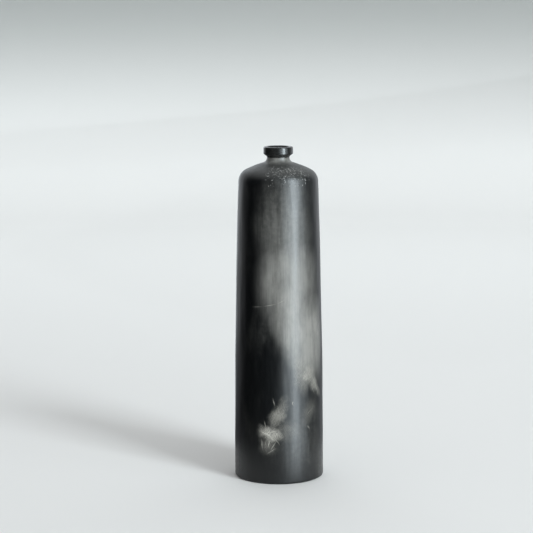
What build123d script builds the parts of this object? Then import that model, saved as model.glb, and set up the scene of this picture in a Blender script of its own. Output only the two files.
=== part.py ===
from build123d import *

import os
from math import radians, tan

# A black clay pot of bottle shape, hand built: a base pan, three wall courses, a shoulder,
# a neck collar and a lip ring, each luted to the one below along a bevelled joint, and the
# whole burnished and fired as one vessel.
# Millimetres, +Z up, origin on the pot's axis in the plane of its flat foot.
# Outlines are drawn as half sections: x is the radius and y is the height.

# The outside of the body
total_height = 400.0
foot_radius = 53.6
foot_rounding = 2.5
wall_bow = 1.4  # how far the wall bulges past a straight line from foot to shoulder
shoulder_radius = 47.4  # where the lines of wall and dome would cross
shoulder_rounding = 16.0
dome_rise = 14.2  # from that crossing up to the root of the neck
dome_bow = 0.7
wall = 6.0
base_thickness = 9.0
inner_floor_rounding = 12.0

# The neck and the lip
neck_radius = 13.6
neck_root_below_rim = 17.4
neck_root_rounding = 6.0
lip_root_below_rim = 11.9
lip_root_rounding = 1.9
lip_radius = 17.9
lip_edge_below_rim = 8.5
lip_lower_rounding = 1.2
lip_upper_rounding = 1.8
bore_radius = 9.5
bore_edge_rounding = 2.0
mouth_radius = 13.4
mouth_depth = 7.0
mouth_root_rounding = 5.0
mouth_edge_rounding = 1.8
rounding_room = 0.8  # the most of a side's length that the rounding at its end may take

# The luted joints
pan_height = 28.0
wall_courses = ("lower_wall", "middle_wall", "upper_wall")
shoulder_skirt = 67.0  # upright part of the shoulder course, below the dome's crossing
neck_seat_radius = 20.0
lip_seat_below_root = 1.1  # the lip ring is luted on at the neck's narrowest place
scarf_slope = 1.0  # a joint drops this much for each millimetre it goes inwards
joint_overrun = 3.0  # how far a joint's cutting line runs on past both faces of the clay

neck_root_height = total_height - neck_root_below_rim
shoulder_height = neck_root_height - dome_rise
lip_root_height = total_height - lip_root_below_rim
lip_edge_height = total_height - lip_edge_below_rim
mouth_root_height = total_height - mouth_depth
reach = 2 * foot_radius
dome_run = shoulder_radius - neck_radius
dome_slope = dome_rise / dome_run
dome_drop = wall * (1 + dome_slope**2) ** 0.5


def wall_outside(height):
    """Outside radius of the wall at a height."""
    share = height / shoulder_height
    straight = foot_radius + (shoulder_radius - foot_radius) * share
    return straight + 4 * wall_bow * share * (1 - share)


def dome_line(radius):
    """Height at a radius of the straight line that the dome bulges above."""
    return shoulder_height + (shoulder_radius - radius) * dome_slope


def dome_outside(radius):
    """Height of the dome's outer face at a radius."""
    share = (shoulder_radius - radius) / dome_run
    return dome_line(radius) + 4 * dome_bow * share * (1 - share)


def bowed(start, end, bow):
    """An arc from start to end that bulges to its right by bow."""
    return SagittaArc(start, end, -bow)


def outer_face():
    """Half section of the pot as if it were solid clay, with sharp corners."""
    foot = (foot_radius, 0)
    shoulder = (shoulder_radius, shoulder_height)
    neck_root = (neck_radius, neck_root_height)
    lip_root = (neck_radius, lip_root_height)
    lip_edge = (lip_radius, lip_edge_height)
    rim = (lip_radius, total_height)
    outline = Curve() + [
        Line((0, 0), foot),
        bowed(foot, shoulder, wall_bow),
        bowed(shoulder, neck_root, dome_bow),
        Polyline(neck_root, lip_root, lip_edge, rim, (0, total_height), (0, 0)),
    ]
    return make_face(outline)


def cavity_face():
    """Half section of the hollow inside, with sharp corners."""
    inner_radius = shoulder_radius - wall
    floor = (foot_radius - wall, base_thickness)
    shoulder = (inner_radius, dome_line(inner_radius) - dome_drop)
    bore_foot = (bore_radius, dome_line(bore_radius) - dome_drop)
    mouth_root = (bore_radius, mouth_root_height)
    mouth = (mouth_radius, total_height)
    outline = Curve() + [
        Line((0, base_thickness), floor),
        bowed(floor, shoulder, wall_bow),
        bowed(shoulder, bore_foot, dome_bow),
        Polyline(bore_foot, mouth_root, mouth, (0, total_height), (0, base_thickness)),
    ]
    return make_face(outline)


def way_out(side, vertex):
    """Direction in which a side leaves the vertex at one of its ends."""
    starts_here = (side @ 0 - vertex.center()).length < (side @ 1 - vertex.center()).length
    return side % 0 if starts_here else -(side % 1)


def rounded(section, corner, radius):
    """The section with one corner rounded, as far as the shorter side at it allows."""
    vertex = section.vertices().sort_by_distance(corner)[0]
    sides = section.edges().sort_by_distance(vertex)[:2]
    opening = way_out(sides[0], vertex).get_angle(way_out(sides[1], vertex))
    room = min(side.length for side in sides) * tan(radians(opening) / 2)
    return fillet(vertex, min(radius, rounding_room * room))


def vessel_section():
    """Half section of the whole clay wall, with its corners rounded."""
    section = outer_face() - cavity_face()
    inner_radius = shoulder_radius - wall
    corners = [
        ((foot_radius, 0), foot_rounding),
        ((shoulder_radius, shoulder_height), shoulder_rounding),
        ((neck_radius, neck_root_height), neck_root_rounding),
        ((neck_radius, lip_root_height), lip_root_rounding),
        ((lip_radius, lip_edge_height), lip_lower_rounding),
        ((lip_radius, total_height), lip_upper_rounding),
        ((mouth_radius, total_height), mouth_edge_rounding),
        ((bore_radius, mouth_root_height), mouth_root_rounding),
        ((bore_radius, dome_line(bore_radius) - dome_drop), bore_edge_rounding),
        ((inner_radius, dome_line(inner_radius) - dome_drop), shoulder_rounding - wall),
        ((foot_radius - wall, base_thickness), inner_floor_rounding),
    ]
    for corner, radius in corners:
        section = rounded(section, corner, radius)
    return section


def joint_line(radius, height, width):
    """Points of a joint from outside to axis, bevelled where it passes through the clay."""
    outer = radius + joint_overrun
    inner = radius - width - joint_overrun
    high = height + (outer - radius) * scarf_slope
    low = height - (radius - inner) * scarf_slope
    return [(reach, high), (outer, high), (inner, low), (0, low)]


def joint_lines():
    """Every joint in order from the foot to the rim, with the open ends as plain lines."""
    skirt_height = shoulder_height - shoulder_skirt
    course_height = (skirt_height - pan_height) / len(wall_courses)
    lines = [[(reach, -wall), (0, -wall)]]
    for course in range(len(wall_courses) + 1):
        height = pan_height + course * course_height
        lines.append(joint_line(wall_outside(height), height, wall))
    seat_height = dome_outside(neck_seat_radius)
    lines.append(joint_line(neck_seat_radius, seat_height, wall))
    lip_seat_height = lip_root_height - lip_seat_below_root
    lines.append(joint_line(neck_radius, lip_seat_height, neck_radius - bore_radius))
    lines.append([(reach, total_height + wall), (0, total_height + wall)])
    return lines


def clay_member(section, below, above):
    """The ring of clay between two joints, turned about the pot's axis."""
    band = make_face(Polyline(*below, *reversed(above), close=True))
    return revolve(Plane.XZ * (section & band), Axis.Z)


os.makedirs("parts", exist_ok=True)
names = ("base_pan", *wall_courses, "shoulder_dome", "neck_collar", "lip_ring")
whole_section = vessel_section()
joints = joint_lines()
for name, below, above in zip(names, joints, joints[1:]):
    member = clay_member(whole_section, below, above)
    export_step(member, f"parts/{name}.step")
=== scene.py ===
"""Finished looks of a hand-built black clay bottle pot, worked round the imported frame.

Lengths are metres in the frame's own axes: +Z is up, the foot stands at zero and the side
that faces a viewer is -Y. A place on the pot's face is told as across and height: across is
measured round the wall from the front, positive to the right.
"""
import logging
import math
import random
from dataclasses import dataclass
from enum import Enum

import bmesh
import bpy
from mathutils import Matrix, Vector, kdtree


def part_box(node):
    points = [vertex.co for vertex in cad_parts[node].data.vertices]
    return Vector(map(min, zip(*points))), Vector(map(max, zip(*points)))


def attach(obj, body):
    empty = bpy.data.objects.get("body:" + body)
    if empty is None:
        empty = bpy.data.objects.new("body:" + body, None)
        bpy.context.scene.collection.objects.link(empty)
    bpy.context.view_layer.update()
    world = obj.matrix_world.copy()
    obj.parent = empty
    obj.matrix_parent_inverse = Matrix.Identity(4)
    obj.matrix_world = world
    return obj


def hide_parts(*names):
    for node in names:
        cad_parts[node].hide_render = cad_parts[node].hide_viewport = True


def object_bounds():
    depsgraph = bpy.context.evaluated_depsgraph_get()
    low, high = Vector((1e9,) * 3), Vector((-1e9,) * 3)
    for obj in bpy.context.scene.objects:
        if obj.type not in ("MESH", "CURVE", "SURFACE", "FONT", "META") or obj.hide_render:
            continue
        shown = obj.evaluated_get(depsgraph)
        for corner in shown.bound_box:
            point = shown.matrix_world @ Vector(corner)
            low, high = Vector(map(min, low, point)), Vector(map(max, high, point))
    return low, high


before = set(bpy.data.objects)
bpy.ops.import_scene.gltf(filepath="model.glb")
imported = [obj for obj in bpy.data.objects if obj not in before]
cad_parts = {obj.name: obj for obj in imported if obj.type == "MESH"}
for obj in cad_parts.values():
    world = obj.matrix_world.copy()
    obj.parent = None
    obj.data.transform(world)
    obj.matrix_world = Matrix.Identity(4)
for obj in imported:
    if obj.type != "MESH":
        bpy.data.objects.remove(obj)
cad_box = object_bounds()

Socket = bpy.types.NodeSocket
Value = float | Socket
Colour = tuple[float, float, float, float]
Point = tuple[float, float]

ROUND_STEPS = 384  # facets round the pot
# paleness of each point's grain, partly real grit colour and partly a painted glint
GRIT_AND_GLINT_ATTRIBUTE = "grit"
FINEST_PITCH = 0.0003  # spacing of points round the smallest roundings
HAND_WORKED = "hand_worked"
GIRTH_RADIUS = 0.052  # where a distance across the face is true
WELD = 1e-6  # points nearer than this are one point
STROKE_SOFT = 0.9  # the share of a stroke that fades out
FACES_DOWN = -0.95  # a normal that points lower than this faces the floor
log = logging.getLogger("clay_pot")


class Face(Enum):
    """The two faces of the clay wall."""

    OUTSIDE = "outside"
    INSIDE = "inside"


class Member(Enum):
    """The luted members of clay, from the foot up, by the names that the frame gives them."""

    BASE_PAN = "base_pan"
    LOWER_WALL = "lower_wall"
    MIDDLE_WALL = "middle_wall"
    UPPER_WALL = "upper_wall"
    SHOULDER_DOME = "shoulder_dome"
    NECK_COLLAR = "neck_collar"
    LIP_RING = "lip_ring"


# ---------------------------------------------------------------- shading helpers


class NodeSheet:
    """A node tree being drawn, with short calls for the few nodes that the finishes use."""

    def __init__(self, tree: bpy.types.NodeTree) -> None:
        """Start on a tree, with whatever nodes it already holds cleared away.

        Args:
            tree: The node tree of a material or of the world.
        """
        self.tree = tree
        self.tree.nodes.clear()

    def add(self, kind: str, **settings: object) -> bpy.types.Node:
        """Add a node and set its plain options.

        Args:
            kind: The node's type name.
            **settings: Attributes of the node and their values.

        Returns:
            The new node.
        """
        node = self.tree.nodes.new(kind)
        for name, value in settings.items():
            setattr(node, name, value)
        return node

    def feed(self, socket: Socket, value: Value | Vector | tuple) -> None:
        """Link a socket to another one, or give it a fixed value.

        Args:
            socket: The input to fill.
            value: An output socket, a number or a tuple.
        """
        if isinstance(value, bpy.types.NodeSocket):
            self.tree.links.new(value, socket)
        else:
            socket.default_value = value

    def calc(self, operation: str, *values: Value) -> Socket:
        """Work out a number from others.

        Args:
            operation: The math node's operation.
            *values: Its inputs in order.

        Returns:
            The result.
        """
        node = self.add("ShaderNodeMath", operation=operation)
        for socket, value in zip(node.inputs, values):
            self.feed(socket, value)
        return node.outputs[0]

    def highest(self, values: list[Socket]) -> Socket:
        """The highest of several numbers."""
        top = values[0]
        for value in values[1:]:
            top = self.calc("MAXIMUM", top, value)
        return top

    def ease(self, value: Value, low: float, high: float, start: float = 0.0, end: float = 1.0) -> Socket:
        """Turn a number smoothly from one level to another.

        Args:
            value: The number that drives the change.
            low: Where the change begins.
            high: Where it ends.
            start: The result at low.
            end: The result at high.

        Returns:
            The eased number.
        """
        node = self.add("ShaderNodeMapRange", interpolation_type="SMOOTHSTEP")
        for socket, given in zip(node.inputs, (value, low, high, start, end)):
            self.feed(socket, given)
        return node.outputs[0]

    def noise(self, place: Socket, scale: float, detail: float = 2.0, rough: float = 0.5) -> bpy.types.Node:
        """A cloudy noise node; its first output is a number and its second a colour.

        Args:
            place: The coordinates that it is read at.
            scale: Lumps per metre.
            detail: How many finer layers are added.
            rough: How strong the finer layers are.

        Returns:
            The noise node.
        """
        node = self.add("ShaderNodeTexNoise")
        for name, given in (("Vector", place), ("Scale", scale), ("Detail", detail), ("Roughness", rough)):
            self.feed(node.inputs[name], given)
        return node

    def stretch(self, place: Socket, draw: tuple[float, float, float], turn: float = 0.0) -> Socket:
        """Coordinates that draw a noise out into streaks.

        Args:
            place: The coordinates to change.
            draw: How many times longer the noise gets along each axis.
            turn: Turn of those axes about the third one, in degrees.

        Returns:
            The changed coordinates.
        """
        node = self.add("ShaderNodeMapping", vector_type="TEXTURE")
        rotation = (0.0, 0.0, math.radians(turn))
        for name, given in (("Vector", place), ("Scale", draw), ("Rotation", rotation)):
            self.feed(node.inputs[name], given)
        return node.outputs[0]

    def tint(self, share: Value, first: Colour | Socket, second: Colour | Socket) -> Socket:
        """Blend two colours.

        Args:
            share: How much of the second, from 0 to 1.
            first: The colour at 0.
            second: The colour at 1.

        Returns:
            The blended colour.
        """
        node = self.add("ShaderNodeMix", data_type="RGBA")
        for index, given in ((0, share), (6, first), (7, second)):
            self.feed(node.inputs[index], given)
        return node.outputs[2]

    def bump(self, height: Socket, depth: float) -> Socket:
        """Bend the light as relief would.

        Args:
            height: The relief, from 0 to 1.
            depth: How deep it is.

        Returns:
            The bent normal.
        """
        node = self.add("ShaderNodeBump")
        for name, given in (("Strength", 1.0), ("Distance", depth), ("Height", height)):
            self.feed(node.inputs[name], given)
        return node.outputs[0]


@dataclass(frozen=True)
class Mark:
    """An oval mark on the pot's face; a long thin one is a stroke.

    Attributes:
        across: Its middle, round the wall from the front.
        height: Its middle, up from the foot.
        half_wide: Half its size across.
        half_high: Half its size up and down.
        turn: Its tilt in degrees, anticlockwise.
        strength: How much it counts, from 0 to 1.
        soft: The share of it that fades out, from 0 to 1.
    """

    across: float
    height: float
    half_wide: float
    half_high: float
    turn: float = 0.0
    strength: float = 1.0
    soft: float = 0.8

    def draw(self, sheet: NodeSheet, place: Socket) -> Socket:
        """Draw the mark.

        Args:
            sheet: The node tree.
            place: Coordinates of across and height.

        Returns:
            Its strength at each place.
        """
        fit = sheet.add("ShaderNodeMapping", vector_type="TEXTURE")
        for name, given in (
            ("Vector", place),
            ("Location", (self.across, self.height, 0.0)),
            ("Rotation", (0.0, 0.0, math.radians(self.turn))),
            ("Scale", (self.half_wide, self.half_high, 1.0)),
        ):
            sheet.feed(fit.inputs[name], given)
        reach = sheet.add("ShaderNodeVectorMath", operation="LENGTH")
        sheet.feed(reach.inputs[0], fit.outputs[0])
        return sheet.ease(reach.outputs["Value"], 1.0, 1.0 - self.soft, 0.0, self.strength)


def stroke(start: Point, end: Point, width: float, strength: float) -> Mark:
    """A thin tapered mark from one place to another.

    Args:
        start: Across and height of one end.
        end: Across and height of the other.
        width: How wide it is at its middle.
        strength: How much it counts.

    Returns:
        The mark.
    """
    run = Vector(end) - Vector(start)
    middle = (Vector(end) + Vector(start)) / 2
    tilt = math.degrees(math.atan2(run.y, run.x))
    return Mark(middle.x, middle.y, run.length / 2, width / 2, tilt, strength, STROKE_SOFT)


class FinishSheet(NodeSheet):
    """The node tree of one finish, with coordinates that run on from piece to piece over joints.

    Attributes:
        material: The material that it belongs to.
        shader: Its shader, already joined to the output.
        solid: Plain object coordinates.
        place: Across and height on the pot's face.
        height: Distance up from the foot.
    """

    def __init__(self, name: str) -> None:
        """Start a material.

        Args:
            name: The material's name.
        """
        self.material = bpy.data.materials.new(name)
        self.material.use_nodes = True
        super().__init__(self.material.node_tree)
        self.shader = self.add("ShaderNodeBsdfPrincipled")
        output = self.add("ShaderNodeOutputMaterial")
        self.feed(output.inputs["Surface"], self.shader.outputs[0])
        self.solid = self.add("ShaderNodeTexCoord").outputs["Object"]
        parts = self.add("ShaderNodeSeparateXYZ")
        self.feed(parts.inputs[0], self.solid)
        self.height = parts.outputs[2]
        forward = self.calc("MULTIPLY", parts.outputs[1], -1.0)
        angle = self.calc("ARCTAN2", parts.outputs[0], forward)
        joined = self.add("ShaderNodeCombineXYZ")
        self.feed(joined.inputs[0], self.calc("MULTIPLY", angle, GIRTH_RADIUS))
        self.feed(joined.inputs[1], self.height)
        self.place = joined.outputs[0]

    def shade(self, name: str, value: Value | Colour) -> None:
        """Fill one input of the shader.

        Args:
            name: The input's name.
            value: An output socket, a number or a colour.
        """
        self.feed(self.shader.inputs[name], value)

    def wander(self, lead: Socket, scale: float, sway: Point) -> Socket:
        """Places on the face that wander, so that what is drawn on them has a ragged edge.

        Args:
            lead: Coordinates that the wander is read at.
            scale: Waves per metre.
            sway: How far it moves across and up.

        Returns:
            The wandering places.
        """
        drift = self.noise(lead, scale, detail=3.0, rough=0.6).outputs["Color"]
        centred = self.add("ShaderNodeVectorMath", operation="SUBTRACT")
        self.feed(centred.inputs[0], drift)
        self.feed(centred.inputs[1], (0.5, 0.5, 0.5))
        moved = self.add("ShaderNodeVectorMath", operation="MULTIPLY_ADD")
        self.feed(moved.inputs[0], centred.outputs[0])
        self.feed(moved.inputs[1], (*sway, 0.0))
        self.feed(moved.inputs[2], self.place)
        return moved.outputs[0]

    def draw(self, marks: tuple["Mark", ...], place: Socket) -> Socket:
        """Draw several marks together.

        Args:
            marks: The marks.
            place: Coordinates of across and height.

        Returns:
            The strength of the strongest at each place.
        """
        return self.highest([mark.draw(self, place) for mark in marks])


# ---------------------------------------------------------------- finishes


@dataclass(frozen=True)
class BurnishedClay:
    """Clay rubbed smooth with a stone and smoked black, with the kiln's clouds and straw burns.

    Attributes:
        name: The material's name.
        black: The colour of fully smoked clay.
        haze: The colour of thinly smoked clay.
        smoke: The colour of a firing cloud.
        straw: The colour that burnt straw leaves.
        grit: The colour of grains that stand out of the clay, partly their own pale grit and partly a
            painted glint of the light that they catch.
        polish: Roughness of well rubbed clay.
        cloud_polish: Roughness in a cloud.
        foot_polish: Roughness near the foot, where the stone reached badly.
        shoulder_polish: Roughness over the shoulder and the root of the neck.
        lip_polish: Roughness of the lip, which was rubbed most.
        gloss: Refractive index, which sets how much burnished clay mirrors.
        drift: How strong the thin haze is that drifts all round the pot.
        shoulder_start: Heights between which the shoulder's dullness begins.
        shoulder_end: Heights between which it gives way to the lip.
        root_start: Heights between which the bleached root of the neck begins.
        root_end: Heights between which it ends, under the lip.
        lip_start: Heights between which the lip's gloss begins.
        foot_dulling: Heights between which the polish fades towards the foot.
        foot_blotches: Heights between which blotches of wear begin near the foot.
        foot_grain: Heights between which the grain gets coarser towards the foot.
        burn_dulling: How much rougher burnt straw leaves the clay.
        relief_depth: How deep the fine relief is.
        clouds: Where the kiln bleached the clay.
        hazes: Where the smoke took thinly.
        smudges: Blotches of burnt straw.
        burns: Single burnt stalks.
        scratches: The faint line along a luted joint.
    """

    name: str = "burnished_black_clay"
    black: Colour = (0.0028, 0.0030, 0.0032, 1.0)
    haze: Colour = (0.064, 0.061, 0.055, 1.0)
    smoke: Colour = (0.226, 0.214, 0.195, 1.0)
    straw: Colour = (0.43, 0.40, 0.35, 1.0)
    # partly the grit's own pale colour, partly a painted glint
    grit: Colour = (0.39, 0.375, 0.35, 1.0)
    polish: float = 0.33
    cloud_polish: float = 0.40
    foot_polish: float = 0.37
    shoulder_polish: float = 0.48
    lip_polish: float = 0.18
    gloss: float = 1.5
    drift: float = 0.36
    shoulder_start: Point = (0.362, 0.374)
    shoulder_end: Point = (0.3850, 0.3790)
    root_start: Point = (0.379, 0.3835)
    root_end: Point = (0.388, 0.3865)
    lip_start: Point = (0.3850, 0.3895)
    foot_dulling: Point = (0.075, 0.015)
    foot_blotches: Point = (0.080, 0.030)
    foot_grain: Point = (0.085, 0.020)
    burn_dulling: float = 0.15
    relief_depth: float = 0.00022

    clouds: tuple[Mark, ...] = (
        Mark(0.012, 0.243, 0.052, 0.070, 0.0, 0.74, 0.7),
        Mark(0.025, 0.172, 0.032, 0.074, 30.0, 0.92, 0.7),
        Mark(0.012, 0.216, 0.034, 0.058, 14.0, 0.92, 0.85),
        Mark(0.042, 0.178, 0.030, 0.076, 4.0, 1.0, 0.7),
        Mark(0.006, 0.296, 0.048, 0.075, 0.0, 0.26, 0.9),
        Mark(0.030, 0.136, 0.012, 0.032, 8.0, 0.50, 0.9),
        Mark(-0.109, 0.215, 0.032, 0.105, -10.0, 0.30, 0.9),
        Mark(0.111, 0.100, 0.033, 0.070, 10.0, 0.24, 0.9),
    )
    hazes: tuple[Mark, ...] = (
        Mark(0.008, 0.315, 0.050, 0.095, 0.0, 0.82, 0.85),
        Mark(0.000, 0.058, 0.034, 0.038, 0.0, 0.40, 0.9),
        Mark(0.032, 0.045, 0.044, 0.046, 0.0, 0.48, 0.9),
        Mark(0.040, 0.085, 0.024, 0.030, 0.0, 0.5, 0.9),
    )
    smudges: tuple[Mark, ...] = (
        Mark(-0.0105, 0.062, 0.019, 0.012, -14.0, 0.92, 0.95),
        Mark(-0.013, 0.050, 0.015, 0.019, 0.0, 0.27, 0.95),
        Mark(-0.001, 0.085, 0.012, 0.028, -24.0, 0.50, 0.98),
        Mark(0.008, 0.066, 0.024, 0.016, 0.0, 0.17, 0.95),
        Mark(0.037, 0.131, 0.013, 0.015, 20.0, 0.52, 0.9),
        Mark(0.049, 0.117, 0.009, 0.022, 38.0, 0.42, 0.9),
        Mark(0.027, 0.132, 0.014, 0.034, 10.0, 0.28, 0.9),
        Mark(0.038, 0.085, 0.012, 0.026, -30.0, 0.12, 0.95),
    )
    burns: tuple[Mark, ...] = (
        stroke((-0.0275, 0.0675), (-0.001, 0.0545), 0.0042, 0.85),
        stroke((-0.016, 0.062), (0.0015, 0.067), 0.0038, 0.7),
        stroke((-0.024, 0.0655), (-0.012, 0.0605), 0.003, 0.9),
        stroke((-0.018, 0.079), (-0.0152, 0.066), 0.0012, 0.6),
        stroke((-0.012, 0.060), (-0.0129, 0.0415), 0.0015, 0.72),
        stroke((-0.0158, 0.056), (-0.0166, 0.0435), 0.0014, 0.50),
        stroke((-0.0216, 0.058), (-0.0196, 0.0395), 0.0024, 0.45),
        stroke((-0.002, 0.055), (-0.012, 0.039), 0.0016, 0.55),
        stroke((-0.017, 0.035), (-0.0015, 0.047), 0.0014, 0.42),
        stroke((-0.008, 0.060), (0.0015, 0.047), 0.0014, 0.5),
        stroke((0.004, 0.094), (-0.007, 0.071), 0.006, 0.42),
        stroke((-0.0085, 0.107), (-0.004, 0.094), 0.0018, 0.35),
        stroke((0.001, 0.092), (-0.011, 0.076), 0.002, 0.45),
        stroke((0.006, 0.087), (-0.003, 0.074), 0.002, 0.4),
        stroke((0.0161, 0.102), (0.0161, 0.095), 0.0012, 0.5),
        stroke((0.033, 0.080), (0.045, 0.092), 0.0016, 0.3),
        stroke((0.034, 0.071), (0.040, 0.064), 0.003, 0.25),
        stroke((0.040, 0.134), (0.054, 0.110), 0.0016, 0.45),
        stroke((0.046, 0.128), (0.058, 0.098), 0.0018, 0.50),
        stroke((0.035, 0.130), (0.047, 0.118), 0.0014, 0.40),
        stroke((0.040, 0.121), (0.050, 0.104), 0.0012, 0.35),
    )
    scratches: tuple[Mark, ...] = (
        stroke((-0.037, 0.2132), (-0.018, 0.2150), 0.0013, 0.22),
        stroke((-0.021, 0.2147), (-0.001, 0.2188), 0.0013, 0.30),
        stroke((-0.003, 0.2182), (0.008, 0.2238), 0.0013, 0.28),
    )

    def build(self) -> bpy.types.Material:
        """Make the material.

        Returns:
            The material, ready to assign.
        """
        sheet = FinishSheet(self.name)
        sheet.shade("IOR", self.gloss)
        streaks = self.rubbed_streaks(sheet)
        cloud = self.cloud_share(sheet, streaks)
        burn = self.burn_share(sheet)
        sheet.shade("Base Color", self.colour(sheet, streaks, cloud, burn))
        sheet.shade("Roughness", self.roughness(sheet, streaks, cloud, burn))
        sheet.shade("Normal", self.relief(sheet, streaks))
        return sheet.material

    def rubbed_streaks(self, sheet: FinishSheet) -> Socket:
        """Upright streaks left by the burnishing stone, from 0 to 1."""
        drawn_out = sheet.stretch(sheet.solid, draw=(1.0, 1.0, 18.0))
        return sheet.noise(drawn_out, scale=420.0, detail=3.0, rough=0.6).outputs[0]

    def shoulder_share(self, sheet: FinishSheet) -> Socket:
        """How far each place belongs to the dull shoulder and root of the neck."""
        above = sheet.ease(sheet.height, *self.shoulder_start)
        below = sheet.ease(sheet.height, *self.shoulder_end, 0.25, 1.0)
        return sheet.calc("MULTIPLY", above, below)

    def cloud_share(self, sheet: FinishSheet, streaks: Socket) -> Socket:
        """How far each place is bleached by the firing cloud.

        Args:
            sheet: The node tree.
            streaks: The burnishing streaks, which break the cloud up.

        Returns:
            The share of cloud, from 0 to 1.
        """
        tall = sheet.stretch(sheet.solid, draw=(1.0, 1.0, 2.2))
        ragged = sheet.wander(tall, scale=34.0, sway=(0.018, 0.034))
        share = sheet.draw(self.clouds, ragged)
        patchy = sheet.noise(tall, scale=60.0, detail=4.0, rough=0.62).outputs[0]
        patchy = sheet.ease(patchy, 0.25, 0.70, 0.62, 1.08)
        streaky = sheet.ease(streaks, 0.28, 0.62, 0.84, 1.05)
        return sheet.calc("MULTIPLY", sheet.calc("MULTIPLY", share, patchy), streaky)

    def burn_share(self, sheet: FinishSheet) -> Socket:
        """How far each place is marked by burnt straw."""
        ragged = sheet.wander(sheet.solid, scale=160.0, sway=(0.0034, 0.0034))
        strokes = sheet.draw(self.burns, ragged)
        blotched = sheet.wander(sheet.solid, scale=75.0, sway=(0.014, 0.014))
        smudges = sheet.draw(self.smudges, blotched)
        leaning = sheet.stretch(sheet.place, draw=(1.0, 7.0, 1.0), turn=-42.0)
        fibres = sheet.noise(leaning, scale=1000.0, detail=2.0, rough=0.6).outputs[0]
        crossing = sheet.stretch(sheet.place, draw=(1.0, 6.0, 1.0), turn=25.0)
        cross_fibres = sheet.noise(crossing, scale=850.0, detail=2.0, rough=0.6).outputs[0]
        matted = sheet.calc("MAXIMUM", fibres, cross_fibres)
        smudges = sheet.calc("MULTIPLY", smudges, sheet.ease(matted, 0.38, 0.68, 0.42, 1.02))
        return sheet.calc("MAXIMUM", strokes, smudges)

    def colour(self, sheet: FinishSheet, streaks: Socket, cloud: Socket, burn: Socket) -> Socket:
        """The clay's colour.

        Args:
            sheet: The node tree.
            streaks: The burnishing streaks.
            cloud: The share of firing cloud.
            burn: The share of straw burn.

        Returns:
            The colour at each place.
        """
        soft = sheet.wander(sheet.solid, scale=22.0, sway=(0.03, 0.05))
        hazy = sheet.draw(self.hazes, soft)
        mottle = sheet.noise(sheet.solid, scale=190.0, detail=4.0, rough=0.65).outputs[0]
        tall = sheet.stretch(sheet.solid, draw=(1.0, 1.0, 2.5))
        drifting = sheet.noise(tall, scale=26.0, detail=3.0, rough=0.55).outputs[0]
        hazy = sheet.calc("MAXIMUM", hazy, sheet.ease(drifting, 0.50, 0.75, 0.0, self.drift))
        hazy = sheet.calc("MULTIPLY", hazy, sheet.ease(mottle, 0.3, 0.7, 0.40, 1.05))
        hazy = sheet.calc("MULTIPLY", hazy, sheet.ease(streaks, 0.3, 0.65, 0.6, 1.1))
        dusty = sheet.calc("MULTIPLY", self.shoulder_share(sheet), 0.55)
        colour = sheet.tint(sheet.calc("MAXIMUM", hazy, dusty), self.black, self.haze)
        above_root = sheet.ease(sheet.height, *self.root_start)
        root = sheet.calc("MULTIPLY", above_root, sheet.ease(sheet.height, *self.root_end))
        root = sheet.calc("MULTIPLY", root, sheet.ease(mottle, 0.3, 0.7, 0.42, 0.82))
        cloud = sheet.calc("MAXIMUM", cloud, root)
        colour = sheet.tint(cloud, colour, self.smoke)
        lines = sheet.draw(self.scratches, sheet.place)
        colour = sheet.tint(lines, colour, self.straw)
        colour = sheet.tint(burn, colour, self.straw)
        # grains paint pale: partly real grit, partly a painted glint of the light they catch
        grains = sheet.add("ShaderNodeAttribute", attribute_name=GRIT_AND_GLINT_ATTRIBUTE).outputs["Fac"]
        return sheet.tint(grains, colour, self.grit)

    def roughness(self, sheet: FinishSheet, streaks: Socket, cloud: Socket, burn: Socket) -> Socket:
        """How dull the clay is.

        Args:
            sheet: The node tree.
            streaks: The burnishing streaks.
            cloud: The share of firing cloud.
            burn: The share of straw burn.

        Returns:
            The roughness at each place.
        """
        dulled = sheet.ease(sheet.height, *self.foot_dulling, self.polish, self.foot_polish)
        shoulder = self.shoulder_share(sheet)
        lip = sheet.ease(sheet.height, *self.lip_start, 0.0, self.lip_polish - self.polish)
        near_foot = sheet.ease(sheet.height, *self.foot_blotches)
        wear = sheet.noise(sheet.solid, scale=260.0, detail=4.0, rough=0.7).outputs[0]
        blotches = sheet.ease(wear, 0.35, 0.65, -0.05, 0.06)
        extras = (
            sheet.calc("MULTIPLY", cloud, self.cloud_polish - self.polish),
            sheet.calc("MULTIPLY", burn, self.burn_dulling),
            sheet.calc("MULTIPLY", shoulder, self.shoulder_polish - self.polish),
            lip,
            sheet.calc("MULTIPLY", near_foot, blotches),
            sheet.ease(streaks, 0.3, 0.7, -0.035, 0.05),
        )
        for extra in extras:
            dulled = sheet.calc("ADD", dulled, extra)
        return dulled

    def relief(self, sheet: FinishSheet, streaks: Socket) -> Socket:
        """The fine relief of the rubbed face.

        Args:
            sheet: The node tree.
            streaks: The burnishing streaks.

        Returns:
            The bent normal.
        """
        drawn_out = sheet.stretch(sheet.solid, draw=(1.0, 1.0, 8.0))
        facets = sheet.noise(drawn_out, scale=110.0, detail=1.0, rough=0.4)
        grain = sheet.noise(sheet.solid, scale=900.0, detail=4.0, rough=0.62)
        foot = sheet.ease(sheet.height, *self.foot_grain, 0.03, 0.23)
        shoulder = sheet.calc("MULTIPLY", self.shoulder_share(sheet), 0.16)
        coarse = sheet.calc("MAXIMUM", foot, shoulder)
        height = sheet.calc("ADD", facets.outputs[0], sheet.calc("MULTIPLY", streaks, 0.10))
        height = sheet.calc("ADD", height, sheet.calc("MULTIPLY", grain.outputs[0], coarse))
        return sheet.bump(height, self.relief_depth)


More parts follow.
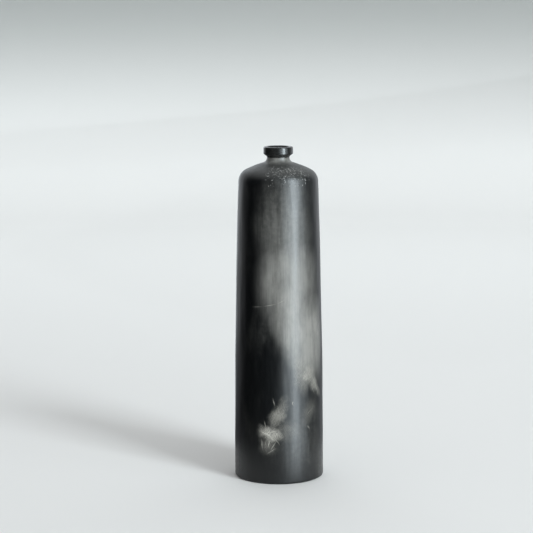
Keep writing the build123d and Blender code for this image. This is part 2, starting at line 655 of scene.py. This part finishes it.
@dataclass(frozen=True)
class RawClay:
    """Smoked clay that was never burnished: the inside and the underside of the foot.

    Attributes:
        name: The material's name.
        dark: The colour of the clay.
        dusty: The colour where dust lies on it.
        dullness: Its roughness, at the least.
        relief_depth: How deep its grain is.
    """

    name: str = "raw_smoked_clay"
    dark: Colour = (0.012, 0.0122, 0.0125, 1.0)
    dusty: Colour = (0.055, 0.052, 0.047, 1.0)
    dullness: float = 0.72
    relief_depth: float = 0.0004

    def build(self) -> bpy.types.Material:
        """Make the material.

        Returns:
            The material, ready to assign.
        """
        sheet = FinishSheet(self.name)
        smears = sheet.noise(sheet.solid, scale=70.0, detail=4.0, rough=0.6).outputs[0]
        grit = sheet.noise(sheet.solid, scale=900.0, detail=3.0, rough=0.6).outputs[0]
        grainy = sheet.ease(grit, 0.3, 0.7, 0.4, 1.0)
        dust = sheet.calc("MULTIPLY", sheet.ease(smears, 0.35, 0.7), grainy)
        sheet.shade("Base Color", sheet.tint(dust, self.dark, self.dusty))
        sheet.shade("Roughness", sheet.ease(grit, 0.3, 0.7, self.dullness, 0.9))
        sheet.shade("Normal", sheet.bump(sheet.calc("ADD", grit, smears), self.relief_depth))
        return sheet.material


# ---------------------------------------------------------------- modelling helpers


def deselect_all() -> None:
    """Leave object mode with nothing selected."""
    if bpy.context.object and bpy.context.object.mode != "OBJECT":
        bpy.ops.object.mode_set(mode="OBJECT")
    bpy.ops.object.select_all(action="DESELECT")


def take_up(piece: bpy.types.Object) -> None:
    """Select one piece and nothing else, and make it the one that tools work on."""
    deselect_all()
    piece.select_set(True)
    bpy.context.view_layer.objects.active = piece


# ---------------------------------------------------------------- the pot


@dataclass(frozen=True)
class Bend:
    """A corner of the pot's outline.

    Attributes:
        radius: Distance from the pot's axis.
        height: Distance up from the foot.
        rounding: Radius that the corner is rounded to.
        bow: How far the side that leads on from it bulges to the right of a straight line.
        face: The face of the clay that the side that leads on belongs to.
    """

    radius: float
    height: float
    rounding: float = 0.0
    bow: float = 0.0
    face: Face = Face.OUTSIDE


@dataclass(frozen=True)
class Station:
    """One point of the traced outline."""

    radius: float
    height: float
    face: Face


def heading_vector(heading: float) -> Vector:
    """A unit step along a heading."""
    return Vector((math.cos(heading), math.sin(heading)))


def find_headings(bends: list[Bend]) -> tuple[list[float], list[float]]:
    """Headings with which an outline comes to each corner and leaves it, bulges included.

    Args:
        bends: The corners in order.

    Returns:
        The headings on arrival and on leaving, as angles turned up from straight outwards.
    """
    arriving, leaving = [0.0], []
    for here, there in zip(bends, bends[1:]):
        run = Vector((there.radius, there.height)) - Vector((here.radius, here.height))
        lean = math.atan(4 * here.bow / run.length)
        heading = math.atan2(run.y, run.x)
        leaving.append(heading - lean)
        arriving.append(heading + lean)
    leaving.append(0.0)
    return arriving, leaving


def round_corner(start: Vector, heading: float, turn: float, radius: float, pitch: float) -> list[Vector]:
    """Points along the arc that rounds a corner, both ends included.

    Args:
        start: Where the arc starts.
        heading: The heading there.
        turn: How far it turns, positive to the left.
        radius: Its radius.
        pitch: Spacing of points, which a small arc makes finer.

    Returns:
        The points in order.
    """
    quarter = math.copysign(math.pi / 2, turn)
    centre = start + heading_vector(heading + quarter) * radius
    fine_pitch = min(pitch, max(FINEST_PITCH, radius / 4))
    count = max(3, math.ceil(radius * abs(turn) / fine_pitch))
    return [
        centre - heading_vector(heading + turn * step / count + quarter) * radius
        for step in range(count + 1)
    ]


def run_side(start: Vector, end: Vector, leaving: float, arriving: float, pitch: float) -> list[Vector]:
    """Points along a bulging side, without its ends.

    Args:
        start: Where it starts.
        end: Where it ends.
        leaving: The heading at its start.
        arriving: The heading at its end.
        pitch: Spacing of points.

    Returns:
        The points in order.
    """
    length = (end - start).length
    first = start + heading_vector(leaving) * length / 3
    second = end - heading_vector(arriving) * length / 3
    count = max(1, math.ceil(length / pitch))
    shares = [step / count for step in range(1, count)]
    return [
        start * (1 - share) ** 3
        + first * 3 * share * (1 - share) ** 2
        + second * 3 * share**2 * (1 - share)
        + end * share**3
        for share in shares
    ]


def trace_outline(bends: list[Bend], pitches: dict[Face, float]) -> list[Station]:
    """Trace an outline through its corners, smooth where sides meet roundings.

    Args:
        bends: The corners in order; the first and last are its ends.
        pitches: Spacing of points along the sides of each face; small roundings are finer.

    Returns:
        The points in order.
    """
    stations: list[Station] = []
    out, last, left_with = Vector((0.0, 0.0)), bends[0], 0.0
    for bend, arriving, leaving in zip(bends, *find_headings(bends)):
        corner = Vector((bend.radius, bend.height))
        turn = math.remainder(leaving - arriving, math.tau)
        cut = bend.rounding * math.tan(abs(turn) / 2)
        into = corner - heading_vector(arriving) * cut
        if stations:
            side = run_side(out, into, left_with, arriving, pitches[last.face])
            stations += [Station(spot.x, spot.y, last.face) for spot in side]
        out = corner + heading_vector(leaving) * cut
        spots = [out]
        if bend.rounding:
            spots = round_corner(into, arriving, turn, bend.rounding, pitches[bend.face])
        stations += [Station(spot.x, spot.y, bend.face) for spot in spots]
        last, left_with = bend, leaving
    return stations


@dataclass
class GritPatch:
    """Grains and pits in the clay of one side of the shoulder, as real relief.

    Attributes:
        middle: Angle from the front to the patch's middle, in degrees, positive to the right.
        spread: Half the patch's angle, in degrees.
        low: Its lower edge.
        high: Its upper edge.
        inner_radius: Nothing of it lies nearer to the pot's axis.
        first_radius: Where its innermost grains are aimed.
        outer_radius: Where its outermost grains are aimed.
        grains: How many grains stand out.
        pits: How many pits sink in.
        sizes: Radius of a small and of a common grain.
        rare_extra: How much more a rare large one has.
        tallest: How far a grain stands out at most.
        deepest: How far a pit sinks in at most.
        pale_glint_size: Radius of a grain that shows quite pale, with its own paleness and its painted
            glint.
        even_scatter: Share of the spread over which the grains lie evenly.
        stray: Share of it by which they stray from there.
        height_scatter: Share of the patch's height by which they lie off its middle.
        steepness: How tall the flattest and steepest grains are against their radius.
        pit_share: How deep a pit is against the height of a grain of its size.
        cuts: How many cuts divide a face of the skin here.
        seed: The seed of their places and sizes.
    """

    middle: float = 17.0
    spread: float = 46.0
    low: float = 0.3575
    high: float = 0.3790
    inner_radius: float = 0.022
    first_radius: float = 0.026
    outer_radius: float = 0.047
    grains: int = 380
    pits: int = 140
    sizes: Point = (0.0003, 0.0006)
    rare_extra: float = 0.0004
    tallest: float = 0.0005
    deepest: float = 0.0004
    pale_glint_size: float = 0.0010
    even_scatter: float = 0.72
    stray: float = 0.1
    height_scatter: float = 0.25
    steepness: Point = (0.4, 0.7)
    pit_share: float = 0.5
    cuts: int = 2
    seed: int = 11

    def holds(self, spot: Vector) -> bool:
        """Whether a place on the skin lies in the patch."""
        angle = math.degrees(math.atan2(spot.x, -spot.y))
        outer = math.hypot(spot.x, spot.y) > self.inner_radius
        return outer and self.low < spot.z < self.high and abs(angle - self.middle) < self.spread

    def roughen(self, skin: bpy.types.Object) -> None:
        """Divide the patch finely, then raise its grains and sink its pits.

        Args:
            skin: The skin of the whole vessel.
        """
        outside = skin.vertex_groups[Face.OUTSIDE.value].index
        take_up(skin)
        bpy.ops.object.mode_set(mode="EDIT")
        bpy.ops.mesh.select_mode(type="FACE")
        bpy.ops.mesh.select_all(action="DESELECT")
        shape = bmesh.from_edit_mesh(skin.data)
        weights = shape.verts.layers.deform.verify()
        for face in shape.faces:
            if self.holds(face.calc_center_median()):
                face.select = all(outside in vertex[weights] for vertex in face.verts)
        bmesh.update_edit_mesh(skin.data)
        bpy.ops.mesh.subdivide(number_cuts=self.cuts)
        bpy.ops.object.mode_set(mode="OBJECT")
        self.set_grains(skin, outside)

    def set_grains(self, skin: bpy.types.Object, outside: int) -> None:
        """Raise the grains, sink the pits and note the grains for the finish.

        Args:
            skin: The skin, already divided finely here.
            outside: Index of the vertex group of its outer face.
        """
        draw = random.Random(self.seed)
        mesh = skin.data
        reach = [
            vertex.index
            for vertex in mesh.vertices
            if self.holds(vertex.co) and any(g.group == outside for g in vertex.groups)
        ]
        tree = kdtree.KDTree(len(reach))
        for index in reach:
            tree.insert(mesh.vertices[index].co, index)
        tree.balance()
        normals = {index: mesh.vertices[index].normal.copy() for index in reach}
        rise: dict[int, float] = {}
        mark: dict[int, float] = {}
        for number in range(self.grains + self.pits):
            is_grain = number < self.grains
            off = draw.uniform(-self.even_scatter, self.even_scatter) + draw.gauss(0.0, self.stray)
            angle = math.radians(self.middle + self.spread * off)
            radius = draw.uniform(self.first_radius, self.outer_radius)
            stray_height = (self.high - self.low) * self.height_scatter
            height = draw.gauss((self.low + self.high) / 2, stray_height)
            aim = Vector((math.sin(angle) * radius, -math.cos(angle) * radius, height))
            centre = tree.find(aim)[0]
            size = draw.uniform(*self.sizes) + self.rare_extra * draw.random() ** 3
            relief = size * draw.uniform(*self.steepness) * (1.0 if is_grain else -self.pit_share)
            for _, index, gap in tree.find_range(centre, size):
                share = (1 - (gap / size) ** 2) ** 2
                rise[index] = rise.get(index, 0.0) + relief * share
                if is_grain:
                    # a grain's painted paleness, partly its own grit colour and partly a painted glint
                    mark[index] = max(mark.get(index, 0.0), share * size / self.pale_glint_size)
        for index, relief in rise.items():
            mesh.vertices[index].co += normals[index] * max(-self.deepest, min(self.tallest, relief))
        grit = mesh.attributes.new(GRIT_AND_GLINT_ATTRIBUTE, "FLOAT", "POINT")
        for index, share in mark.items():
            grit.data[index].value = share


@dataclass
class Pot:
    """The whole vessel: thrown as one skin, then parted into its luted members.

    Attributes:
        shoulder_radius: Outside, where the lines of wall and dome would cross.
        wall_bow: Bulge of the wall past a straight line.
        dome_rise: From that crossing up to the root of the neck.
        dome_bow: Bulge of the dome past a straight line.
        wall: Thickness of the wall.
        floor: Thickness of the floor.
        neck_radius: Outside, at the neck's narrowest.
        lip_radius: Outside of the lip.
        bore_radius: The neck's bore.
        mouth_radius: The bore's flare at the rim.
        neck_root_below_rim: From the rim down to where neck and dome would cross.
        lip_root_below_rim: From the rim down to where the lip's underside meets the neck.
        lip_edge_below_rim: From the rim down to the lip's lower edge.
        mouth_depth: How deep the flare goes.
        foot_rounding: Rounding of the foot's edge, as the next ones are of their corners.
        shoulder_rounding: Where the wall turns into the dome.
        neck_rounding: At the root of the neck.
        lip_root_rounding: Where the lip's underside meets the neck.
        lip_edge_rounding: At the lip's lower edge.
        rim_rounding: At both edges of the rim.
        throat_rounding: Where the flare turns into the bore.
        bore_foot_rounding: Where the bore opens into the dome.
        inner_shoulder_rounding: Inside the shoulder.
        floor_rounding: Inside, where the wall meets the floor.
        pitches: Spacing of points up each face.
        trued_foot: Height over which the unevenness dies out towards the foot.
        swell: How much the wall swells and hollows.
        ripple: How deep the finer ripples are.
        swell_wave: How long the swells are along each axis.
        ripple_wave: How long the ripples are along each axis.
        waves_place: Where the waves start from, which sets where they fall.
        underside: Faces that look down below this height belong to the foot's underside.
        joint_face: A face larger than this that reaches the inside belongs to a joint.
        smooth_angle: Edges sharper than this many degrees stay crisp.
    """

    shoulder_radius: float = 0.0474
    wall_bow: float = 0.0014
    dome_rise: float = 0.0142
    dome_bow: float = 0.0007
    wall: float = 0.006
    floor: float = 0.009
    neck_radius: float = 0.0136
    lip_radius: float = 0.0179
    bore_radius: float = 0.0095
    mouth_radius: float = 0.0134
    neck_root_below_rim: float = 0.0174
    lip_root_below_rim: float = 0.0119
    lip_edge_below_rim: float = 0.0085
    mouth_depth: float = 0.007
    foot_rounding: float = 0.0025
    shoulder_rounding: float = 0.016
    neck_rounding: float = 0.006
    lip_root_rounding: float = 0.0019
    lip_edge_rounding: float = 0.0012
    rim_rounding: float = 0.0018
    throat_rounding: float = 0.005
    bore_foot_rounding: float = 0.002
    inner_shoulder_rounding: float = 0.010
    floor_rounding: float = 0.012
    pitches: tuple[tuple[Face, float], ...] = ((Face.OUTSIDE, 0.0013), (Face.INSIDE, 0.0035))
    trued_foot: float = 0.012
    swell: float = 0.0008
    ripple: float = 0.00035
    swell_wave: tuple[float, float, float] = (0.055, 0.055, 0.110)
    ripple_wave: tuple[float, float, float] = (0.011, 0.011, 0.050)
    waves_place: tuple[float, float, float] = (0.013, 0.007, 0.021)
    underside: float = 0.0004
    joint_face: float = 1.5e-6
    smooth_angle: float = 40.0

    def bends(self) -> list[Bend]:
        """The corners of the half section, from the middle of the foot round to the floor."""
        low, high = cad_box
        top, foot_radius = high.z, high.x
        neck_root = top - self.neck_root_below_rim
        shoulder = neck_root - self.dome_rise
        slope = self.dome_rise / (self.shoulder_radius - self.neck_radius)
        drop = self.wall * math.hypot(1.0, slope)
        inner_shoulder = self.shoulder_radius - self.wall
        under_dome = shoulder + self.wall * slope - drop
        bore_foot = shoulder + (self.shoulder_radius - self.bore_radius) * slope - drop
        inside = Face.INSIDE
        return [
            Bend(0.0, low.z),
            Bend(foot_radius, low.z, self.foot_rounding, self.wall_bow),
            Bend(self.shoulder_radius, shoulder, self.shoulder_rounding, self.dome_bow),
            Bend(self.neck_radius, neck_root, self.neck_rounding),
            Bend(self.neck_radius, top - self.lip_root_below_rim, self.lip_root_rounding),
            Bend(self.lip_radius, top - self.lip_edge_below_rim, self.lip_edge_rounding),
            Bend(self.lip_radius, top, self.rim_rounding),
            Bend(self.mouth_radius, top, self.rim_rounding, face=inside),
            Bend(self.bore_radius, top - self.mouth_depth, self.throat_rounding, face=inside),
            Bend(self.bore_radius, bore_foot, self.bore_foot_rounding, -self.dome_bow, inside),
            Bend(inner_shoulder, under_dome, self.inner_shoulder_rounding, -self.wall_bow, inside),
            Bend(foot_radius - self.wall, self.floor, self.floor_rounding, face=inside),
            Bend(0.0, self.floor, face=inside),
        ]

    def joint_heights(self) -> list[tuple[float, float]]:
        """Outside and inside height of each joint, read from the frame's own members."""
        names = [member.value for member in Member]
        return [(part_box(lower)[1].z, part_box(upper)[0].z) for lower, upper in zip(names, names[1:])]

    def outline(self) -> list[Station]:
        """The traced half section, with a point set exactly on each end of each joint."""
        stations = trace_outline(self.bends(), dict(self.pitches))
        for heights in self.joint_heights():
            for face, height in zip((Face.OUTSIDE, Face.INSIDE), heights):
                on_face = [i for i, s in enumerate(stations) if s.face is face]
                nearest = min(on_face, key=lambda i: abs(stations[i].height - height))
                here = stations[nearest]
                climb = stations[nearest + 1].height - here.height
                step = 1 if climb * (height - here.height) > 0 else -1
                there = stations[nearest + step]
                share = (height - here.height) / (there.height - here.height)
                radius = here.radius + (there.radius - here.radius) * share
                stations[nearest] = Station(radius, height, face)
        return stations

    def member_stations(self, stations: list[Station]) -> dict[Member, list[int]]:
        """Which points of the outline belong to each member; a joint's points belong to two.

        Args:
            stations: The outline.

        Returns:
            Indices of points for each member.
        """
        top = cad_box[1].z
        joints = [(-1.0, -1.0), *self.joint_heights(), (top + 1.0, top + 1.0)]
        shares: dict[Member, list[int]] = {}
        for member, below, above in zip(Member, joints, joints[1:]):
            shares[member] = [
                index
                for index, spot in enumerate(stations)
                if below[spot.face is Face.INSIDE] - WELD
                <= spot.height
                <= above[spot.face is Face.INSIDE] + WELD
            ]
        return shares

    def throw_skin(self) -> bpy.types.Object:
        """Draw the outline as a chain of edges and spin it round the pot's axis.

        Returns:
            The closed skin of the whole vessel, with a vertex group for each member and face.
        """
        stations = self.outline()
        deselect_all()
        bpy.ops.mesh.primitive_plane_add(size=0.001, location=(0.0, 0.0, 0.0))
        skin = bpy.context.object
        skin.name = "pot_skin"
        bpy.ops.object.mode_set(mode="EDIT")
        bpy.ops.mesh.merge(type="CENTER")
        here = Vector((stations[0].radius, stations[0].height))
        bpy.ops.transform.translate(value=(here.x, 0.0, here.y))
        for spot in stations[1:]:
            there = Vector((spot.radius, spot.height))
            step = there - here
            bpy.ops.mesh.extrude_region_move(TRANSFORM_OT_translate={"value": (step.x, 0.0, step.y)})
            here = there
        bpy.ops.object.mode_set(mode="OBJECT")
        for member, indices in self.member_stations(stations).items():
            skin.vertex_groups.new(name=member.value).add(indices, 1.0, "REPLACE")
        for face in Face:
            indices = [i for i, spot in enumerate(stations) if spot.face is face]
            if face is Face.INSIDE:
                indices.insert(0, indices[0] - 1)
            skin.vertex_groups.new(name=face.value).add(indices, 1.0, "REPLACE")
        worked = skin.vertex_groups.new(name=HAND_WORKED)
        for index, spot in enumerate(stations):
            if spot.face is Face.OUTSIDE and spot.height > 0:
                worked.add([index], min(1.0, spot.height / self.trued_foot), "REPLACE")
        bpy.ops.object.mode_set(mode="EDIT")
        bpy.ops.mesh.select_all(action="SELECT")
        bpy.ops.mesh.spin(
            steps=ROUND_STEPS, angle=math.tau, center=(0.0, 0.0, 0.0), axis=(0.0, 0.0, 1.0)
        )
        bpy.ops.mesh.select_all(action="SELECT")
        bpy.ops.mesh.remove_doubles(threshold=WELD)
        bpy.ops.mesh.normals_make_consistent(inside=False)
        bpy.ops.object.mode_set(mode="OBJECT")
        return skin

    def work_by_hand(self, skin: bpy.types.Object) -> None:
        """Give the outside the slow swells and finer ripples that hands and stone leave.

        Args:
            skin: The skin of the whole vessel.
        """
        for name, depth, wave in (
            ("swell", self.swell, self.swell_wave),
            ("ripple", self.ripple, self.ripple_wave),
        ):
            deselect_all()
            bpy.ops.object.empty_add(location=self.waves_place)
            waves = bpy.context.object
            waves.scale = wave
            bpy.context.view_layer.update()
            clouds = bpy.data.textures.new(name, "CLOUDS")
            clouds.noise_scale = 1.0
            clouds.noise_depth = 1
            take_up(skin)
            displace = skin.modifiers.new(name, "DISPLACE")
            displace.texture = clouds
            displace.texture_coords = "OBJECT"
            displace.texture_coords_object = waves
            displace.vertex_group = HAND_WORKED
            displace.strength = depth
            displace.mid_level = 0.5
            bpy.ops.object.modifier_apply(modifier=name)
            bpy.data.objects.remove(waves)

    def part_member(self, skin: bpy.types.Object, member: Member) -> bpy.types.Object:
        """Cut one member out of the skin and close its joints.

        Args:
            skin: The skin of the whole vessel.
            member: Which member to cut.

        Returns:
            The member as a closed piece.
        """
        take_up(skin)
        bpy.ops.object.duplicate(linked=False)
        piece = bpy.context.object
        piece.name = f"{member.value}_clay"
        bpy.ops.object.mode_set(mode="EDIT")
        bpy.ops.mesh.select_mode(type="VERT")
        bpy.ops.mesh.select_all(action="DESELECT")
        piece.vertex_groups.active = piece.vertex_groups[member.value]
        bpy.ops.object.vertex_group_select()
        bpy.ops.mesh.select_mode(type="FACE")
        bpy.ops.mesh.select_all(action="INVERT")
        bpy.ops.mesh.delete(type="FACE")
        low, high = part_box(member.value)
        middle = (low.z + high.z) / 2
        for is_upper in (False, True):
            self.close_joint(piece, middle, is_upper)
        bpy.ops.mesh.select_all(action="SELECT")
        bpy.ops.mesh.normals_make_consistent(inside=False)
        bpy.ops.object.mode_set(mode="OBJECT")
        return piece

    def close_joint(self, piece: bpy.types.Object, middle: float, is_upper: bool) -> None:
        """Bridge the outer and inner edge of one joint with its bevelled face.

        Args:
            piece: The member, in edit mode.
            middle: The member's middle height, which tells its joints apart.
            is_upper: Whether the joint is above the middle.
        """
        bpy.ops.mesh.select_mode(type="EDGE")
        bpy.ops.mesh.select_all(action="DESELECT")
        shape = bmesh.from_edit_mesh(piece.data)
        found = 0
        for edge in shape.edges:
            if edge.is_boundary and (edge.verts[0].co.z > middle) == is_upper:
                edge.select = True
                found += 1
        shape.select_flush_mode()
        bmesh.update_edit_mesh(piece.data)
        if found:
            bpy.ops.mesh.bridge_edge_loops()

    def dress(self, piece: bpy.types.Object, outside: bpy.types.Material, raw: bpy.types.Material) -> None:
        """Give a member its finishes, and shade it smooth with crisp joint edges.

        Args:
            piece: The member.
            outside: The finish of its outer face.
            raw: The finish of its inner face, its joints and the underside of the foot.
        """
        piece.data.materials.clear()
        piece.data.materials.append(outside)
        piece.data.materials.append(raw)
        group = piece.vertex_groups[Face.INSIDE.value].index
        inner = [any(g.group == group for g in vertex.groups) for vertex in piece.data.vertices]
        throat = cad_box[1].z - self.mouth_depth
        for polygon in piece.data.polygons:
            hidden = all(inner[v] for v in polygon.vertices) and polygon.center.z < throat
            mixed = any(inner[v] for v in polygon.vertices) and polygon.area > self.joint_face
            beneath = polygon.normal.z < FACES_DOWN and polygon.center.z < self.underside
            polygon.material_index = int(hidden or mixed or beneath)
        take_up(piece)
        bpy.ops.object.shade_smooth_by_angle(angle=math.radians(self.smooth_angle))

    def build(self) -> list[bpy.types.Object]:
        """Make every member, dressed and riding on the frame.

        Returns:
            The members from the foot up.
        """
        skin = self.throw_skin()
        self.work_by_hand(skin)
        GritPatch().roughen(skin)
        log.info("pot_skin: %d faces", len(skin.data.polygons))
        burnished, raw = BurnishedClay().build(), RawClay().build()
        pieces = []
        for member in Member:
            piece = self.part_member(skin, member)
            self.dress(piece, burnished, raw)
            piece.vertex_groups.clear()
            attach(piece, "root")
            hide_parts(member.value)
            log.info("%s: %d faces", piece.name, len(piece.data.polygons))
            pieces.append(piece)
        bpy.data.objects.remove(skin)
        return pieces


# ---------------------------------------------------------------- the studio


@dataclass(frozen=True)
class SoftLight:
    """An oblong soft light that stands upright and faces the pot, or hangs level over the floor.

    Attributes:
        name: Its name.
        bearing: Degrees round from the viewer's side.
        distance: How far it stands from the pot's axis.
        height: Its middle above the floor.
        size: Its width and height.
        power: Its power in watts.
        mirrored: Whether the pot mirrors it.
        downward: Whether it hangs level and shines straight down instead.
        colour: The colour of daylight.
    """

    name: str
    bearing: float
    distance: float
    height: float
    size: Point
    power: float
    mirrored: bool = False
    downward: bool = False
    colour: tuple[float, float, float] = (0.83, 0.94, 1.0)

    def hang(self) -> bpy.types.Object:
        """Add the light to the scene.

        Returns:
            The light.
        """
        turn = math.radians(self.bearing)
        place = Vector((math.sin(turn), -math.cos(turn), 0.0)) * self.distance
        deselect_all()
        bpy.ops.object.light_add(type="AREA", location=(place.x, place.y, self.height))
        light = bpy.context.object
        light.name = self.name
        light.data.shape = "RECTANGLE"
        light.data.size, light.data.size_y = self.size
        light.data.energy = self.power
        light.data.color = self.colour
        if not self.downward:
            light.rotation_euler = place.to_track_quat("Z", "Y").to_euler()
        light.visible_camera = False
        light.visible_glossy = self.mirrored
        return light


@dataclass
class Studio:
    """A pale floor and backdrop with painted shade darkening the backdrop upwards, soft window light and
    the camera.

    Attributes:
        near_radius: The part of the floor that the pot mirrors.
        floor_radius: Where the floor starts to rise into the backdrop.
        sweep: Radius of that rise.
        backdrop_height: How high the backdrop goes.
        camera_back: How far the camera stands in front of the pot.
        camera_side: How far it stands to the side of the pot's axis.
        camera_height: Its height above the floor.
        aim_side: Where it looks, sideways from the pot's axis.
        aim_height: Where it looks, above the floor.
        lens: Its focal length in millimetres.
        roll: Its lean in degrees.
        sensor: Width of its sensor in millimetres.
        facets: How many facets the floor and backdrop have, all round.
        floor_rings: Where the floor's rings lie, as shares of its radius.
        sweep_steps: How many facets the rise has.
        floor_paint: The paint of the floor.
        shaded_wall_paint: The paint high up on the backdrop, darker as painted shade for the light falling
            off up there.
        painted_shade_heights: Heights between which the first turns into the second, painting shade up the
            backdrop.
        paint_roughness: Roughness of the paint.
        paint_shine: How much the paint mirrors.
        dim: The light of the room on the viewer's side.
        pale: Its light overhead and behind the pot.
        behind: How far back a way points where the pale half begins and is full.
        below: How far down a way points where the low dimness begins and is full.
        left: How far sideways it points where the low dimness begins and is full.
        left_dimness: That dimness straight below and at the far left.
        overhead: How far up a way points where the pale ceiling begins and is full.
        ceiling: How pale the ceiling is against the half behind.
        lights: The lights.
    """

    near_radius: float = 0.17
    floor_radius: float = 2.4
    sweep: float = 0.9
    backdrop_height: float = 3.4
    camera_back: float = 2.171
    camera_side: float = -0.0184
    camera_height: float = 0.586
    aim_side: float = -0.0144
    aim_height: float = 0.2555
    lens: float = 123.45
    roll: float = 0.25
    sensor: float = 36.0
    facets: int = 96
    floor_rings: tuple[float, ...] = (0.25, 0.5, 1.0)
    sweep_steps: int = 12
    floor_paint: Colour = (0.79, 0.75, 0.72, 1.0)
    # painted shade: the backdrop's paint is darker high up, standing for light that falls off there
    shaded_wall_paint: Colour = (0.31, 0.305, 0.29, 1.0)
    painted_shade_heights: Point = (0.05, 0.62)
    paint_roughness: float = 0.85
    paint_shine: float = 0.2
    dim: Colour = (0.006, 0.007, 0.009, 1.0)
    pale: Colour = (0.86, 0.90, 0.94, 1.0)
    behind: Point = (0.15, 0.75)
    below: Point = (-0.13, -0.19)
    left: Point = (0.10, -0.20)
    left_dimness: Point = (0.60, 0.99)
    overhead: Point = (0.45, 0.95)
    ceiling: float = 0.7
    lights: tuple[SoftLight, ...] = (
        SoftLight("window", 43.0, 3.8, 0.2, (4.5, 6.4), 235.0, mirrored=True),
        SoftLight("window_middle", 43.0, 3.7, 0.2, (1.3, 6.4), 74.0, mirrored=True),
        SoftLight("window_sky", 43.0, 3.6, 1.75, (1.1, 4.4), 185.0, mirrored=True),
        SoftLight("back_window", 195.0, 3.8, 1.0, (1.3, 3.6), 12.0, mirrored=True),
        SoftLight("backdrop_light", 172.0, 2.0, 1.7, (4.0, 1.6), 24.0, downward=True),
    )

    def paint(self) -> bpy.types.Material:
        """The pale paint of floor and backdrop, with painted shade that darkens it up the backdrop."""
        sheet = FinishSheet("pale_studio_paint")
        # painted shade: the paint darkens with height, standing for light that falls off up the backdrop
        rise = sheet.ease(sheet.height, *self.painted_shade_heights)
        sheet.shade("Base Color", sheet.tint(rise, self.floor_paint, self.shaded_wall_paint))
        sheet.shade("Roughness", self.paint_roughness)
        sheet.shade("Specular IOR Level", self.paint_shine)
        return sheet.material

    def stand(self, paint: bpy.types.Material) -> bpy.types.Object:
        """The round of floor that the pot stands on."""
        deselect_all()
        bpy.ops.mesh.primitive_circle_add(
            vertices=self.facets, radius=self.near_radius, fill_type="NGON"
        )
        return self.set_up(bpy.context.object, "floor_middle", paint)

    def surround(self, paint: bpy.types.Material) -> bpy.types.Object:
        """The rest of the floor, swept up into a round backdrop."""
        deselect_all()
        bpy.ops.mesh.primitive_circle_add(
            vertices=self.facets, radius=self.near_radius, fill_type="NOTHING"
        )
        surround = bpy.context.object
        bpy.ops.object.mode_set(mode="EDIT")
        bpy.ops.mesh.select_all(action="SELECT")
        radius, height = self.near_radius, 0.0
        steps = [(self.floor_radius * share, 0.0) for share in self.floor_rings]
        for index in range(1, self.sweep_steps + 1):
            angle = math.pi / 2 * index / self.sweep_steps
            steps.append(
                (
                    self.floor_radius + self.sweep * math.sin(angle),
                    self.sweep * (1 - math.cos(angle)),
                )
            )
        steps.append((self.floor_radius + self.sweep, self.backdrop_height))
        for next_radius, next_height in steps:
            bpy.ops.mesh.extrude_region_move(
                TRANSFORM_OT_translate={"value": (0.0, 0.0, next_height - height)}
            )
            factor = next_radius / radius
            bpy.ops.transform.resize(value=(factor, factor, 1.0))
            radius, height = next_radius, next_height
        bpy.ops.mesh.select_all(action="SELECT")
        bpy.ops.mesh.normals_make_consistent(inside=True)
        bpy.ops.object.mode_set(mode="OBJECT")
        surround.visible_glossy = False
        surround.visible_shadow = False
        return self.set_up(surround, "backdrop", paint)

    def set_up(self, thing: bpy.types.Object, name: str, paint: bpy.types.Material) -> bpy.types.Object:
        """Name, paint and stage one part of the studio."""
        thing.name = name
        thing.data.materials.append(paint)
        take_up(thing)
        bpy.ops.object.shade_smooth()
        return thing

    def surroundings(self) -> None:
        """A room that is dark on the viewer's side, and pale overhead and behind the pot."""
        world = bpy.data.worlds.new("room")
        bpy.context.scene.world = world
        world.use_nodes = True
        sheet = NodeSheet(world.node_tree)
        ways = sheet.add("ShaderNodeTexCoord").outputs["Generated"]
        parts = sheet.add("ShaderNodeSeparateXYZ")
        sheet.feed(parts.inputs[0], ways)
        side, back, up = parts.outputs
        low = sheet.ease(up, *self.below)
        low_left = sheet.calc("MULTIPLY", low, sheet.ease(side, *self.left, *self.left_dimness))
        behind = sheet.calc(
            "MULTIPLY", sheet.ease(back, *self.behind), sheet.calc("SUBTRACT", 1.0, low_left)
        )
        light = sheet.calc("MAXIMUM", behind, sheet.ease(up, *self.overhead, 0.0, self.ceiling))
        colour = sheet.tint(light, self.dim, self.pale)
        background = sheet.add("ShaderNodeBackground")
        sheet.feed(background.inputs[0], colour)
        output = sheet.add("ShaderNodeOutputWorld")
        sheet.feed(output.inputs[0], background.outputs[0])

    def camera(self) -> bpy.types.Object:
        """Set the camera up in front of the pot, looking slightly down."""
        place = Vector((self.camera_side, -self.camera_back, self.camera_height))
        aim = Vector((self.aim_side, 0.0, self.aim_height))
        deselect_all()
        bpy.ops.object.camera_add(location=place)
        camera = bpy.context.object
        camera.name = "viewer"
        camera.rotation_euler = (aim - place).to_track_quat("-Z", "Y").to_euler()
        camera.rotation_euler.rotate_axis("Z", math.radians(-self.roll))
        camera.data.lens = self.lens
        camera.data.sensor_width = self.sensor
        bpy.context.scene.camera = camera
        return camera

    def build(self) -> None:
        """Set up the whole studio."""
        paint = self.paint()
        for thing in (self.stand(paint), self.surround(paint)):
            log.info("%s: %d faces", thing.name, len(thing.data.polygons))
        self.surroundings()
        for light in self.lights:
            light.hang()
            log.info("%s: %.0f W", light.name, light.power)
        bpy.context.scene.view_settings.view_transform = "Standard"
        self.camera()


def main() -> None:
    """Build the studio and the pot."""
    logging.basicConfig(level=logging.INFO, format="%(name)s %(message)s")
    Studio().build()
    Pot().build()


if __name__ == "__main__":
    main()
